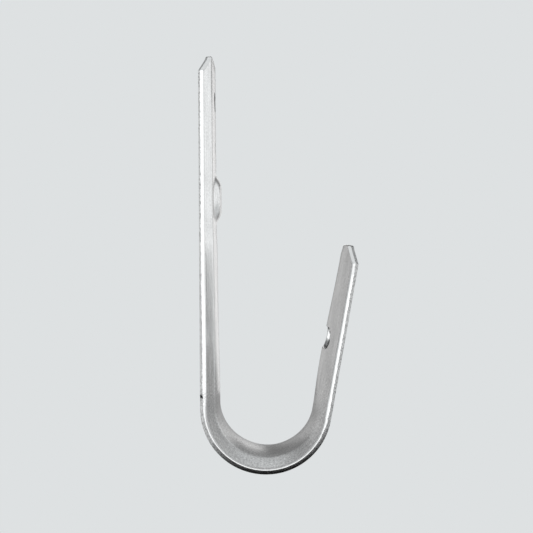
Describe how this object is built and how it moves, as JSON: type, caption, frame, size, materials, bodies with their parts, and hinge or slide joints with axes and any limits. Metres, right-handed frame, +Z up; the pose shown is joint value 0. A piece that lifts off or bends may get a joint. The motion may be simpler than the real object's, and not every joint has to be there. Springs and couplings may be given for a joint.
{
  "type": "j hook cable support",
  "caption": "Pressed steel J hook that holds a bundle of data cables off a wall, with a tall back leg to fix and a slot for a cable retainer in its front leg.",
  "frame": {"origin": "middle of the fixing hole, on the back of the sheet", "axes": "+X away from the wall towards the front leg, +Z up along the back leg, Y across the strip"},
  "size_m": [0.0537, 0.0318, 0.142],
  "materials": {
    "galvanised_steel": "pre-galvanised sheet, satin, fine mill grain across the strip, bare sheared edges"
  },
  "bodies": {
    "root": {"hook": "galvanised_steel"}
  },
  "joints": []
}
